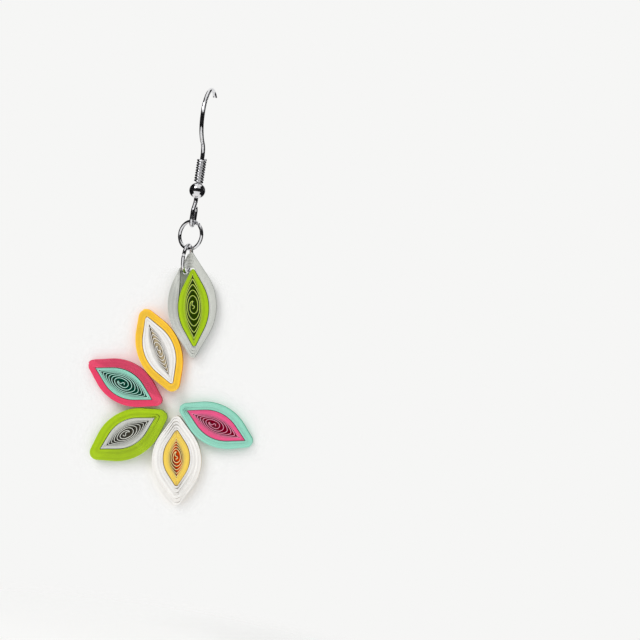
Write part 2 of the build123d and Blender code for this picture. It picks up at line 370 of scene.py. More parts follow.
def flank(roll):
    """Radius of a roll's flanks, and the slope angle of the straight runs to its tips."""
    radius = (roll.length ** 2 + roll.width ** 2) / (4 * roll.width) * FLANK_FULLNESS
    drop = radius - roll.width / 2
    angle = math.atan2(roll.length / 2, drop) - math.acos(radius / math.hypot(roll.length / 2, drop))
    return radius, angle


def half_length(roll):
    """From a roll's middle to the end of its rounded tip."""
    _, angle = flank(roll)
    return roll.length / 2 - roll.tip / math.sin(angle) + roll.tip


def half_width(roll, x):
    """Half width of a roll at x: on its flank, its straight run or its rounded tip."""
    radius, angle = flank(roll)
    x = np.abs(x)
    tip_middle = roll.length / 2 - roll.tip / math.sin(angle)
    tip = np.sqrt(np.maximum(roll.tip ** 2 - (x - tip_middle) ** 2, 0))
    run = (roll.length / 2 - x) * math.tan(angle)
    side = np.sqrt(np.maximum(radius ** 2 - x ** 2, 0)) - radius + roll.width / 2
    on_tip = x > tip_middle + roll.tip * math.sin(angle)
    on_run = x > radius * math.sin(angle)
    return np.where(on_tip, tip, np.where(on_run, run, side))


def outline(roll, angle):
    """Points of a roll's outline, along and across it."""
    x = half_length(roll) * np.cos(angle)
    return np.stack((x, np.sign(np.sin(angle)) * half_width(roll, x)), axis=-1)


def inset(roll, distance):
    """The same outline, further in by a distance."""
    _, angle = flank(roll)
    return Roll(roll.length - 2 * distance / math.sin(angle), roll.width - 2 * distance,
                max(roll.tip - distance, 0))


for leaf in leaves:
    print(f"leaf {leaf.number}: {2 * half_length(leaf.band):.1f} by {leaf.band.width} mm")

# %% [markdown]
# The loose turns are the heart of a quilled leaf. Along the flanks they lie one on another,
# squeezed by the pinch, and only their ends spring apart into nested bows. So each turn's width
# is that of the opening, less one strip for each turn outside it, and its end is closed by a
# power curve, fuller than an oval. The last few turns stand off the flanks and wind down to the
# small loop that the tool's slot leaves.

# %% Path of a core
CORE_PITCH = STRIP_THICKNESS * 1.04    # from turn to turn, where they lie one on another
BOW_POWER = 3.0        # how full the bows are: 2 is an oval's
CLOSING_POWER = 3      # how late the turns leave the flanks on their way in
CENTRE_LENGTH = 0.75   # half size of the innermost turn
CENTRE_WIDTH = 0.42
LEAST_WIDTH = 0.5 * CENTRE_WIDTH
SLOT_BEND = ((-0.62, 0.25), (-0.5, -0.3), (-0.15, -0.42), (0.0, 0.0), (0.2, 0.42), (0.62, 0.42))
SLOT_STEPS = 10        # from one point of that bend to the next


def loose_turns(leaf, angle, turns_in):
    """Points of the loose turns that lie turns_in turns inside the tight ones."""
    reach = leaf.open_turns.length / 2
    widest = leaf.open_turns.width / 2
    bunch = min(CORE_PITCH, (widest - CENTRE_WIDTH) / leaf.turns)
    share = turns_in / leaf.turns
    x = (reach - share * (reach - CENTRE_LENGTH)) * np.cos(angle)
    closing = (widest - leaf.turns * bunch - CENTRE_WIDTH) * share ** CLOSING_POWER
    side = widest * (1 - ((x + share * leaf.swirl) / reach) ** 2) - turns_in * bunch - closing
    side = np.maximum(side, LEAST_WIDTH * share)
    y = side * np.sqrt(1 - np.abs(np.cos(angle)) ** BOW_POWER) * np.sign(np.sin(angle))
    return np.stack((x + share * leaf.swirl, y), axis=-1)


def smooth(points, steps):
    """Smooth curve through given points."""
    points = [2 * points[0] - points[1], *points, 2 * points[-1] - points[-2]]
    made = []
    for a, b, c, d in zip(points, points[1:], points[2:], points[3:]):
        for t in np.arange(steps) / steps:
            made.append(0.5 * (2 * b + (c - a) * t + (2 * a - 5 * b + 4 * c - d) * t ** 2
                               + (3 * b - a - 3 * c + d) * t ** 3))
    return np.array(made)


def core_path(leaf):
    """Middle line of the core's strip, from its slot outwards."""
    tight_turns = round((leaf.core.width - leaf.open_turns.width) / 2 / CORE_PITCH)
    total = leaf.turns + tight_turns
    turn = np.arange(total * TURN_STEPS + 1) / TURN_STEPS
    angle = 2 * np.pi * turn
    open_points = loose_turns(leaf, angle, np.maximum(leaf.turns - turn, 0))
    rim = outline(inset(leaf.core, STRIP_THICKNESS / 2), angle)
    tight = np.clip((turn - leaf.turns) / tight_turns, 0, 1)[:, None]
    points = open_points * (1 - tight) + rim * tight
    start = [np.array((x * CENTRE_LENGTH + leaf.swirl, y * CENTRE_WIDTH)) for x, y in SLOT_BEND]
    return np.concatenate((smooth([*start, points[0]], SLOT_STEPS), points))


def strip_length(points):
    return np.linalg.norm(np.diff(points, axis=0), axis=1).sum()


for leaf in leaves:
    print(f"leaf {leaf.number}: its core is a strip of {strip_length(core_path(leaf)):.0f} mm")

# %% [markdown]
# The band is wound round the finished core, so its turns change from the core's outline to the
# leaf's own. The first leaf's band was opened with a needle for the ring: its turns are pressed
# together outside a round eye, which closes down the core's side to a narrow slit.

# %% The eye in the first leaf
EYE_LEAF = 1
EYE_RADIUS = 0.705
EYE_WALL = 0.3         # room for the turns between the eye and the leaf's edge
EYE_SLIT_END = 1.4     # where the slit below the eye closes, along the leaf
eye_height = joint_height["spray_swing"]
print(f"eye: at height {eye_height:.2f} mm, {2 * EYE_RADIUS} mm wide")


def eye_bulge(leaf, eye, shift, points):
    """Moves the inner outline of the first band out round the eye and the slit below it."""
    _, angle = flank(leaf.band)
    outer = eye + Vector((math.sin(angle), math.cos(angle))) * EYE_RADIUS
    x, y = points[:, 0], points[:, 1]
    upper = y >= shift.y
    closed = np.argmin(np.where(upper, np.abs(x - EYE_SLIT_END), np.inf))
    slit_y = np.interp(x, (EYE_SLIT_END, outer.x), (y[closed], outer.y + STRIP_THICKNESS / 2))
    in_slit = upper & (x > EYE_SLIT_END) & (x < outer.x)
    y = np.where(in_slit, np.maximum(y, slit_y), y)
    reach = EYE_RADIUS + STRIP_THICKNESS / 2
    rise = np.sqrt(np.maximum(reach ** 2 - (x - eye.x) ** 2, 0))
    in_eye = upper & (np.abs(x - eye.x) < reach)
    y = np.where(in_eye, np.maximum(y, eye.y + rise), y)
    return np.stack((x, y), axis=-1)


def clear_of_eye(eye, points, share):
    """Pushes every turn out of the eye, and the outer turns a little further."""
    offset = points - np.array(eye)
    distance = np.linalg.norm(offset, axis=1)
    least = EYE_RADIUS + STRIP_THICKNESS / 2 + EYE_WALL * share
    return np.array(eye) + offset * np.maximum(least / distance, 1)[:, None]


# %% [markdown]
# At some tips the pinch let a band's turns go. They hold together in a few groups, and thin
# slits open between the groups. A sum of three sine waves along the band's depth gathers the
# turns in this way.

# %% Path of a band
BAND_PITCH = STRIP_THICKNESS * 1.02
SLITS = 4
SLIT_OPENING = 0.6
SLIT_POWER = 7         # how close to the tips the slits stay
SLIT_WAVES = (1, 2, 3)
SLIT_ONSET = 4         # how soon the slits open, going in from the closed turns


def part_at_tips(leaf, angle, share):
    """How far each point moves out or in, as a share of the band, to open the slits."""
    (upper, lower), (upper_lean, lower_lean) = leaf.slits, leaf.slit_lean
    tip = (upper * np.maximum(np.cos(angle - upper_lean), 0) ** SLIT_POWER
           + lower * np.maximum(-np.cos(angle - lower_lean), 0) ** SLIT_POWER)
    inner = np.clip((1 - share - leaf.slit_depth) / (1 - leaf.slit_depth), 0, 1)
    phase = 2 * np.pi * (SLITS * share + 0.5)
    steps = sum(np.sin(k * phase) / k for k in SLIT_WAVES) / (2 * np.pi * SLITS)
    return SLIT_OPENING * tip * steps * np.minimum(SLIT_ONSET * inner, 1)


def band_path(leaf, place, shift):
    """Middle line of the band's strip. The shift is from the leaf's middle to its core's."""
    side = (leaf.band.width - leaf.core.width) / 2 - abs(shift.y)
    turns = math.floor(side / BAND_PITCH)
    turn = np.arange(turns * TURN_STEPS + 1) / TURN_STEPS
    angle = 2 * np.pi * turn
    has_eye = leaf.number == EYE_LEAF
    eye = place.inside(Vector((0, eye_height)))
    first = outline(inset(leaf.core, -STRIP_THICKNESS / 2), angle) + np.array(shift)
    if has_eye:
        first = eye_bulge(leaf, eye, shift, first)
    last = outline(inset(leaf.band, STRIP_THICKNESS / 2), angle)
    share = turn / turns
    share += part_at_tips(leaf, angle, share)
    points = first * (1 - share[:, None]) + last * share[:, None]
    return clear_of_eye(eye, points, share) if has_eye else points


# %% [markdown]
# ## Winding a ribbon
# Along its path a strip is as thick as its paper, but where turns are pressed together it takes
# only the room that its neighbours leave. At a pinched tip the paper is creased, and a creased
# strip reaches further along the leaf than its own thickness. All the creases lie on the leaf's
# long axis.

# %% Thickness along a path
FILL = 0.97            # share of the way to the next turn that a pressed strip takes up
NEAR = 10              # steps to each side in which the next turn's nearest point is looked for
OPEN_GAP = 0.25        # gap at which a turn is fully loose
CREASE_REACH = 0.5     # from the long axis to each side
BAND_SLACK = 1.1       # how thick a band's strip may look, against its paper


def neighbour_distance(points, direction):
    """Distance from each point to the turn beside it, on that side."""
    count = len(points)
    nearest = np.full(count, np.inf)
    index = np.arange(count) + direction * TURN_STEPS
    for offset in range(-NEAR, NEAR):
        first, second = index + offset, index + offset + 1
        inside = (first >= 0) & (second < count)
        start, end = points[first[inside]], points[second[inside]]
        run = end - start
        length = np.maximum((run ** 2).sum(axis=1), 1e-9)
        share = np.clip(((points[inside] - start) * run).sum(axis=1) / length, 0, 1)
        distance = np.linalg.norm(start + run * share[:, None] - points[inside], axis=1)
        nearest[inside] = np.minimum(nearest[inside], distance)
    return nearest


def thickness(points, most):
    """Thickness at each point, and how loosely the turns lie there, from 0 to 1."""
    inner, outer = neighbour_distance(points, -1), neighbour_distance(points, 1)
    gap = np.where(np.isfinite(inner), inner, outer) - STRIP_THICKNESS
    return np.minimum(most, FILL * np.minimum(inner, outer)), np.clip(gap / OPEN_GAP, 0, 1)


def tip_weight(points, upper, lower):
    """Fades from the given values at the two tips of every turn to 0 along its flanks."""
    along, across = points.T
    return np.exp(-(across / CREASE_REACH) ** 2) * np.where(along > 0, upper, lower)


def band_thickness(leaf, points):
    """Most that a band's strip may take up. Slits weaken a tip's crease unless they lean."""
    _, angle = flank(leaf.band)
    creased = 1 / math.sin(angle) - 1
    pressed = [1 if lean else 1 - slit for slit, lean in zip(leaf.slits, leaf.slit_lean)]
    return STRIP_THICKNESS * (BAND_SLACK + creased * tip_weight(points, *pressed))


# %% [markdown]
# The strips' edges never lie quite level. Each turn stands a few hundredths of a millimetre
# higher or lower than the next, and a slow noise along the strip gives both that height and the
# turn's tone. The ribbon is a closed strip of quads: two faces, two cut edges and two ends.

# %% Ribbon mesh
UNEVEN = 0.04
TONE = 0.2
SEED_STEP = 7.3
NOISES = ((0.37, 20), (1.9, 0), (1.9, 40))    # steps in a turn and layer: drift, front, back


def mesh_object(name, vertices, faces, materials, face_materials=None, smooth_faces=None):
    """Object in the scene, with every face smooth and of the first material unless stated."""
    mesh = bpy.data.meshes.new(name)
    mesh.from_pydata(vertices, [], faces)
    for material in materials:
        mesh.materials.append(material)
    if face_materials is not None:
        mesh.polygons.foreach_set("material_index", face_materials)
    mesh.polygons.foreach_set("use_smooth", smooth_faces or [True] * len(faces))
    mesh.update()
    piece = bpy.data.objects.new(name, mesh)
    bpy.context.scene.collection.objects.link(piece)
    return piece


def ribbon_faces(count):
    """Quads round a ribbon of that many cross-sections, and which are cut edges or ends."""
    faces, is_edge = [], []
    for i in range(count - 1):
        a, b = 4 * i, 4 * (i + 1)
        for side in range(4):
            following = (side + 1) % 4
            faces.append((a + side, b + side, b + following, a + following))
            is_edge.append(side % 2 == 0)
    end = 4 * (count - 1)
    faces += [(0, 1, 2, 3), (end + 3, end + 2, end + 1, end)]
    return faces, is_edge + [True, True]


def ribbon(name, place, points, thick, loose, materials, seed):
    """One strip of paper wound along points, which lie in the place's own plane."""
    tangent = np.gradient(points, axis=0)
    tangent /= np.maximum(np.linalg.norm(tangent, axis=1), 1e-9)[:, None]
    outward = np.stack((tangent[:, 1], -tangent[:, 0]), axis=-1) * (thick / 2)[:, None]
    turns = np.arange(len(points)) / TURN_STEPS
    vertices, tones = [], []
    for turn, point, out in zip(turns, points, outward):
        drift, wander, back_wander = (noise.noise((turn * rate, seed * SEED_STEP, layer))
                                      for rate, layer in NOISES)
        front = -STRIP_WIDTH / 2 + UNEVEN * (0.5 + wander)
        back = STRIP_WIDTH / 2 - UNEVEN * (0.5 + back_wander)
        inner, outer = point - out, point + out
        vertices += [place.point(*inner, front), place.point(*outer, front),
                     place.point(*outer, back), place.point(*inner, back)]
        tones += [TONE * (0.5 * wander + drift)] * 4
    faces, is_edge = ribbon_faces(len(points))
    piece = mesh_object(name, vertices, faces, materials, [int(edge) for edge in is_edge],
                        [not edge for edge in is_edge])
    values = {"loose": np.repeat(loose, 4), "tone": tones}
    for attribute, value in values.items():
        piece.data.attributes.new(attribute, "FLOAT", "POINT").data.foreach_set("value", value)
    for edge in piece.data.edges:
        first, second = edge.vertices
        edge.use_edge_sharp = first % 4 == second % 4
    return piece


# %% [markdown]
# ## Wind the twelve rolls
# A roll's normals have to point out of the paper. The core's strip runs from its slot outwards,
# and the band's from the core's side to the leaf's. A band's slits are narrower than the gaps in
# a core, so it gets less of the painted shade.

# %% Cores and bands
# share of the painted shade between loose turns that a band gets
BAND_PAINTED_SHADE = 0.6
BAND_SEED = 20
for leaf in leaves:
    band_node, core_node = f"leaf_{leaf.number}_band", f"leaf_{leaf.number}_core"
    band_place = places[leaf.number]
    core_place = Place(middle_of(core_node), band_place.axis)
    points = core_path(leaf)
    core = ribbon(f"{core_node}_strip", core_place, points, *thickness(points, STRIP_THICKNESS),
                  paper_materials[leaf.core_paper], leaf.number)
    dress(core, core_node)
    shift = band_place.inside(core_place.middle)
    points = band_path(leaf, band_place, shift)
    thick, loose = thickness(points, band_thickness(leaf, points))
    band = ribbon(f"{band_node}_strip", band_place, points, thick, BAND_PAINTED_SHADE * loose,
                  paper_materials[leaf.band_paper], leaf.number + BAND_SEED)
    dress(band, band_node)
    print(f"leaf {leaf.number}: {len(core.data.polygons)} and {len(band.data.polygons)} faces, "
          f"its band a strip of {strip_length(points):.0f} mm")

# %% [markdown]
# ## Wire
# The ear wire, its coil and the rings are drawn wire, round in section. A tube is swept along
# each path: at every point the ring of the section stands square to the path, carried on from
# the one before without twisting. The cut ends have a small worn edge.

# %% Tube
WORN_EDGE = 0.08
EDGE_BEND = 0.3        # where a worn edge bends, as a share of its width


def tube(name, path, radius, sides):
    """Round wire along a path of points in metres, with blunt ends."""
    tangents = [(after - before).normalized() for before, after
                in zip([path[0], *path[:-1]], [*path[1:], path[-1]])]
    edge = WORN_EDGE * MM
    worn = edge * EDGE_BEND
    stations = [(path[0], tangents[0], radius - edge),
                (path[0] + tangents[0] * worn, tangents[0], radius - worn),
                *((point, tangent, radius) for point, tangent in zip(path[1:-1], tangents[1:-1])),
                (path[-1] - tangents[-1] * worn, tangents[-1], radius - worn),
                (path[-1], tangents[-1], radius - edge)]
    side = tangents[0].orthogonal().normalized()
    vertices, faces = [], []
    for point, tangent, wide in stations:
        side = (side - tangent * side.dot(tangent)).normalized()
        other = tangent.cross(side)
        for k in range(sides):
            turn = 2 * math.pi * k / sides
            vertices.append(point + (side * math.cos(turn) + other * math.sin(turn)) * wide)
    for i in range(len(stations) - 1):
        for k in range(sides):
            a, b = i * sides + k, i * sides + (k + 1) % sides
            faces.append((a, b, b + sides, a + sides))
    last = (len(stations) - 1) * sides
    faces += [tuple(range(sides))[::-1], tuple(range(last, last + sides))]
    piece = mesh_object(name, vertices, faces, [silver])
    piece.data.polygons[-1].use_smooth = False
    piece.data.polygons[-2].use_smooth = False
    return piece


# %% [markdown]
# The ear wire is one length of wire bent over formers. Its path is a line of corners in the
# hook's own upright plane, each rounded by an arc of the former's size, as in the part.

# %% Ear wire
WIRE_RADIUS = 0.35
WIRE_SIDES = 24
ARCH_RADIUS = 4.3      # bend over the ear
FRONT_BEND, BACK_BEND = 5.1, 2.5    # they bring the front of the hook back over the coil
LEG_LENGTH = 12.5      # straight rear leg
HOOK_TURN = 9.0        # degrees that the hook's plane is turned about Z
COIL_DROP = 11.0       # from the origin down to the top of the coil
LOOP_WIDTH, LOOP_HEIGHT = 1.94, 3.9
LOOP_SHOULDER = 1.4    # height of the sloping shoulder at the top of the loop
LOOP_MOUTH = 0.62      # where the loop's closing end stops, from the middle
NECK_BEND, SHOULDER_BEND, CLOSING_BEND = 0.8, 1.2, 0.4
BEND_STEP = 0.02       # keeps two bends that follow each other just apart
ARC_STEP = math.radians(6)
loop_bottom = joint_height["upper_ring_swing"]


def rounded_path(corners, radii):
    """Path through the corners, each rounded by an arc of its radius."""
    path = [corners[0]]
    for before, corner, after, radius in zip(corners, corners[1:], corners[2:], radii):
        back, on = (before - corner).normalized(), (after - corner).normalized()
        half = back.angle(on) / 2
        centre = corner + (back + on).normalized() * radius / math.sin(half)
        start = corner + back * radius / math.tan(half) - centre
        finish = corner + on * radius / math.tan(half) - centre
        steps = max(2, math.ceil(start.angle(finish) / ARC_STEP))
        path += [centre + start.slerp(finish, k / steps) * radius for k in range(steps + 1)]
    return path + [corners[-1]]


def ear_wire_path():
    """Middle line of the wire, from the end of the rear leg to the end of the loop."""
    arch_z = WIRE_RADIUS
    spring_z = arch_z - ARCH_RADIUS
    bend = 2 * math.atan2(ARCH_RADIUS, spring_z + COIL_DROP)
    front_corner = spring_z - (FRONT_BEND + BEND_STEP) * math.tan(bend / 2)
    back_corner = front_corner - ARCH_RADIUS / math.tan(bend)
    neck_z = loop_bottom + LOOP_HEIGHT
    shoulder_z = neck_z - LOOP_SHOULDER
    half_loop = LOOP_WIDTH / 2
    corners = [(ARCH_RADIUS, spring_z - LEG_LENGTH), (ARCH_RADIUS, arch_z), (-ARCH_RADIUS, arch_z),
               (-ARCH_RADIUS, front_corner), (0, back_corner), (0, neck_z),
               (-half_loop, shoulder_z), (-half_loop, loop_bottom), (half_loop, loop_bottom),
               (half_loop, shoulder_z), (LOOP_MOUTH, shoulder_z + LOOP_SHOULDER / 2)]
    radii = [ARCH_RADIUS - BEND_STEP, ARCH_RADIUS - BEND_STEP, FRONT_BEND, BACK_BEND, NECK_BEND,
             SHOULDER_BEND, half_loop - BEND_STEP, half_loop - BEND_STEP, CLOSING_BEND]
    turn = math.radians(HOOK_TURN)
    return [Vector((p.x * math.sin(turn), p.x * math.cos(turn), p.y)) * MM
            for p in rounded_path([Vector(c) for c in corners], radii)]


ear_wire = tube("ear_wire_silver", ear_wire_path(), WIRE_RADIUS * MM, WIRE_SIDES)
dress(ear_wire, "ear_wire")
print("ear wire:", len(ear_wire.data.polygons), "faces")

# %% [markdown]
# The coil is thinner wire wound nine times round the shank, a helix whose turns nearly touch.

# %% Coil
COIL_WIRE = 0.4
COIL_SIDES = 14
COIL_TURNS = 9
COIL_STEPS = 32
COIL_FIT = 0.07        # air between the coil and the wire inside it
coil_low, coil_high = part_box("wire_coil")
coil_radius = WIRE_RADIUS + COIL_FIT + COIL_WIRE / 2
coil_top = coil_high[2] / MM - COIL_WIRE / 2
coil_pitch = (coil_top - coil_low[2] / MM - COIL_WIRE / 2) / COIL_TURNS
helix = [Vector((coil_radius * math.cos(2 * math.pi * k / COIL_STEPS),
                 coil_radius * math.sin(2 * math.pi * k / COIL_STEPS),
                 coil_top - coil_pitch * k / COIL_STEPS)) * MM
         for k in range(COIL_TURNS * COIL_STEPS + 1)]
dress(tube("wire_coil_silver", helix, COIL_WIRE / 2 * MM, COIL_SIDES), "wire_coil")
print(f"coil: {coil_pitch:.3f} mm from turn to turn")

# %% [markdown]
# Each jump ring is a piece of wire bent once round a rod and sawn off, with a hair's breadth
# between its ends. The upper one faces mostly forward, and the lower one stands nearly edge-on.

# %% Jump rings
RING_WIRE, RING_RADIUS = 0.6, 2.3
RING_SPLIT = 0.1
RING_SIDES = 20
RING_STEPS = 96


def jump_ring(node, turn, cut):
    """Ring in an upright plane turned about Z, sawn at the angle cut above the horizontal."""
    low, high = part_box(node)
    centre = Vector((0, 0, (low[2] + high[2]) / 2))
    outward = Vector((math.cos(math.radians(turn)), -math.sin(math.radians(turn)), 0))
    gap = RING_SPLIT / RING_RADIUS
    spread = [math.radians(cut) + gap / 2 + (2 * math.pi - gap) * k / RING_STEPS
              for k in range(RING_STEPS + 1)]
    path = [centre + (outward * math.cos(a) + Vector((0, 0, math.sin(a)))) * RING_RADIUS * MM
            for a in spread]
    print(f"{node}: middle at height {centre.z / MM:.2f} mm, turned {turn:.0f} degrees")
    return dress(tube(f"{node}_silver", path, RING_WIRE / 2 * MM, RING_SIDES), node)


jump_ring("upper_jump_ring", turn=35.0, cut=50.0)
jump_ring("lower_jump_ring", turn=102.0, cut=10.0)

# %% [markdown]
# The bead is a ball with a straight bore for the shank, whose mouth is eased a little at both
# ends. A profile turned about the shank makes it.

# %% Ball bead
BEAD_SEGMENTS = 64
BEAD_STEPS = 40
BEAD_BORE = 0.38       # radius
BEAD_LIP = 0.09        # width of the eased mouth


def bead():
    low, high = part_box("bead")
    middle = (low[2] + high[2]) / 2 / MM
    radius = (high[0] - low[0]) / 2 / MM
    mouth = math.asin((BEAD_BORE + BEAD_LIP) / radius)
    arc = [(radius * math.sin(a), radius * math.cos(a))
           for a in np.linspace(mouth, math.pi - mouth, BEAD_STEPS + 1)]
    lip_z = radius * math.cos(mouth)
    top_lip = [(BEAD_BORE, lip_z - BEAD_LIP),
               (BEAD_BORE + BEAD_LIP * EDGE_BEND, lip_z - BEAD_LIP * EDGE_BEND)]
    profile = top_lip + arc + [(r, -z) for r, z in top_lip[::-1]]
    vertices, faces = [], []
    for r, z in profile:
        for k in range(BEAD_SEGMENTS):
            turn = 2 * math.pi * k / BEAD_SEGMENTS
            vertices.append(Vector((r * math.cos(turn), r * math.sin(turn), middle + z)) * MM)
    rows = len(profile)
    for i in range(rows):
        for k in range(BEAD_SEGMENTS):
            a, b = i * BEAD_SEGMENTS, (i + 1) % rows * BEAD_SEGMENTS
            following = (k + 1) % BEAD_SEGMENTS
            faces.append((a + k, b + k, b + following, a + following))
    return dress(mesh_object("bead_silver", vertices, faces, [silver]), "bead")


print("bead:", len(bead().data.polygons), "faces")

# %% [markdown]
# ## Stage
# The photograph shows the earring on white card under a broad soft light. The world gives that
# light. It is plain white to the camera and to metal, and to everything else it is a studio
# whose rear wall is dark, so that hardly any light comes through the loose turns from behind.

# %% World
STUDIO_WHITE = "#F6F6F5"
FRONT_LIGHT, REAR_LIGHT = 0.70, 0.1
REAR_FADE = (0.35, 0.85)     # share of the way to the rear where the light starts and ends to fade


def world_light():
    world = bpy.data.worlds.new("soft_studio")
    bpy.context.scene.world = world
    world.use_nodes = True
    tree = world.node_tree
    tree.nodes.clear()
    path = add(tree, "ShaderNodeLightPath").outputs
    seen = path["Is Camera Ray"]
    for ray in ("Is Glossy Ray", "Is Transmission Ray"):
        seen = add(tree, "ShaderNodeMath", {"operation": "MAXIMUM"},
                   {0: seen, 1: path[ray]}).outputs[0]
    direction = add(tree, "ShaderNodeTexCoord").outputs["Generated"]
    rearward = add(tree, "ShaderNodeSeparateXYZ", inputs={0: direction}).outputs["Y"]
    strength = add(tree, "ShaderNodeMapRange", {"interpolation_type": "SMOOTHSTEP"}, {
        "Value": rearward, "From Min": REAR_FADE[0], "From Max": REAR_FADE[1],
        "To Min": FRONT_LIGHT, "To Max": REAR_LIGHT}).outputs[0]
    light = add(tree, "ShaderNodeBackground", inputs={
        "Color": linear("#FFFFFF"), "Strength": strength})
    white = add(tree, "ShaderNodeBackground", inputs={
        "Color": linear(STUDIO_WHITE), "Strength": 1.0})
    both = add(tree, "ShaderNodeMixShader", inputs={
        0: seen, 1: light.outputs[0], 2: white.outputs[0]})
    add(tree, "ShaderNodeOutputWorld", inputs={"Surface": both.outputs[0]})
    return world


print("world:", world_light().name)

# %% [markdown]
# The stage is seen in places only, so its materials mix their shader with a clear one by a
# mask. Ambient occlusion tells how near the object is: it gives the share of the light from the
# front that nothing close by keeps off.

# %% Masks
SHADOW_REACH = 5 * MM


def fading(name, shader, colour, opacity):
    """Material of the stage. The function opacity builds its mask, 0 where it isn't seen."""
    material, tree = new_material(name)
    seen = add(tree, shader, inputs={"Color": linear(colour)})
    clear = add(tree, "ShaderNodeBsdfTransparent")
    surface(tree, add(tree, "ShaderNodeMixShader", inputs={
        0: opacity(tree), 1: clear.outputs[0], 2: seen.outputs[0]}))
    return material


def on_front(tree, mask):
    """The mask on a surface's front, and 0 on its back."""
    behind = add(tree, "ShaderNodeNewGeometry").outputs["Backfacing"]
    front = add(tree, "ShaderNodeMath", {"operation": "SUBTRACT"}, {0: 1.0, 1: behind}).outputs[0]
    return add(tree, "ShaderNodeMath", {"operation": "MULTIPLY"}, {0: mask, 1: front}).outputs[0]


def closeness(tree, far, near):
    """0 where the open share of the light is far or more, up to 1 where it is near or less."""
    light = add(tree, "ShaderNodeAmbientOcclusion", {"samples": 16},
                {"Distance": SHADOW_REACH}).outputs["AO"]
    return on_front(tree, add(tree, "ShaderNodeMapRange", inputs={
        "Value": light, "From Min": far, "From Max": near, "To Min": 0.0, "To Max": 1.0}).outputs[0])


def flat(name, corners, material):
    """One face that has all the corners."""
    return mesh_object(name, corners, [tuple(range(len(corners)))], [material])


# %% [markdown]
# A card stands close behind the leaves and takes their soft shadow. It shows only where
# something lies close before it, and only from the front, so the earring can still swing
# through it and be seen from behind. It ends below the ring, along a soft edge.

# %% White card
CARD_GAP = 0.12
CARD_WHITE = "#FDFDFC"     # under these lights it comes out as white as the world
CARD_LIGHT = (0.98, 0.6)   # open shares of the light where it starts to show and shows fully
CARD_REACH = 60            # to each side
CARD_BELOW = 8             # from the lowest leaf down to its lower edge
CARD_TOP = 0.75            # from the eye up to its upper edge
EDGE_SOFTNESS = 0.1        # height over which that edge fades, straight above the eye
EDGE_SPREAD = 0.5          # what each millimetre to a side adds to that height
RING_CROSSING = Vector((-0.24, 0.29))    # from the eye to where the ring goes through the card
RING_HOLE = 0.38           # radius
spray_low = min(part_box(f"leaf_{leaf.number}_band")[0][2] for leaf in leaves)
card_depth = (STRIP_WIDTH / 2 + CARD_GAP) * MM
card_bottom, card_top = spray_low - CARD_BELOW * MM, (eye_height + CARD_TOP) * MM


def near_something(tree):
    """Mask of the card: its front, close behind the object, below its edge, off the ring."""
    shown = closeness(tree, *CARD_LIGHT)
    place = add(tree, "ShaderNodeTexCoord").outputs["Object"]
    crossing = Vector((RING_CROSSING.x * MM, card_depth, (eye_height + RING_CROSSING.y) * MM))
    from_ring = add(tree, "ShaderNodeVectorMath", {"operation": "DISTANCE"},
                    {0: place, 1: crossing}).outputs["Value"]
    off_ring = add(tree, "ShaderNodeMath", {"operation": "GREATER_THAN"},
                   {0: from_ring, 1: RING_HOLE * MM}).outputs[0]
    place = add(tree, "ShaderNodeSeparateXYZ", inputs={0: place}).outputs
    sideways = add(tree, "ShaderNodeMath", {"operation": "ABSOLUTE"}, {0: place["X"]}).outputs[0]
    softness = add(tree, "ShaderNodeMath", {"operation": "MULTIPLY_ADD"},
                   {0: sideways, 1: EDGE_SPREAD, 2: EDGE_SOFTNESS * MM}).outputs[0]
    below = add(tree, "ShaderNodeMath", {"operation": "SUBTRACT"},
                {0: card_top, 1: place["Z"]}).outputs[0]
    under_edge = add(tree, "ShaderNodeMath", {"operation": "DIVIDE", "use_clamp": True},
                     {0: below, 1: softness}).outputs[0]
    for mask in (under_edge, off_ring):
        shown = add(tree, "ShaderNodeMath", {"operation": "MULTIPLY"},
                    {0: shown, 1: mask}).outputs[0]
    return shown


corners = [(x * MM, card_depth, z) for x, z in (
    (-CARD_REACH, card_bottom), (CARD_REACH, card_bottom),
    (CARD_REACH, card_top), (-CARD_REACH, card_top))]
card = flat("white_card", corners, fading(
    "uncoated_white_card", "ShaderNodeBsdfDiffuse", CARD_WHITE, near_something))
print(f"card: {CARD_GAP} mm behind the leaves")

# %% [markdown]
# Down between the loose turns the card would get no light but what the dyed paper hands on, so
# there a glowing patch of painted shade in the paper's deep colour stands in front of it. The hook
# is stuck through the same card, so a narrow strip of it hides the rear leg from straight in front.

# %% Painted shade in the wells, and the card behind the hook
WELL_STEP = 0.05           # in front of the white card
# open shares of the light where the painted shade in the wells starts to show and shows fully
WELL_LIGHT = (0.55, 0.3)
HOOK_CARD = ((0.45, -17.0), (1.3, -17.0), (1.3, -2.4), (1.0, -1.2), (1.0, -0.7), (0.2, -0.7),
             (0.2, -1.6), (0.45, -2.8))    # sideways and up


# mask of the painted shade in the wells: where little of the light is open
def painted_shade_in_well(tree):
    return closeness(tree, *WELL_LIGHT)


def whole_front(tree):
    return on_front(tree, 1.0)


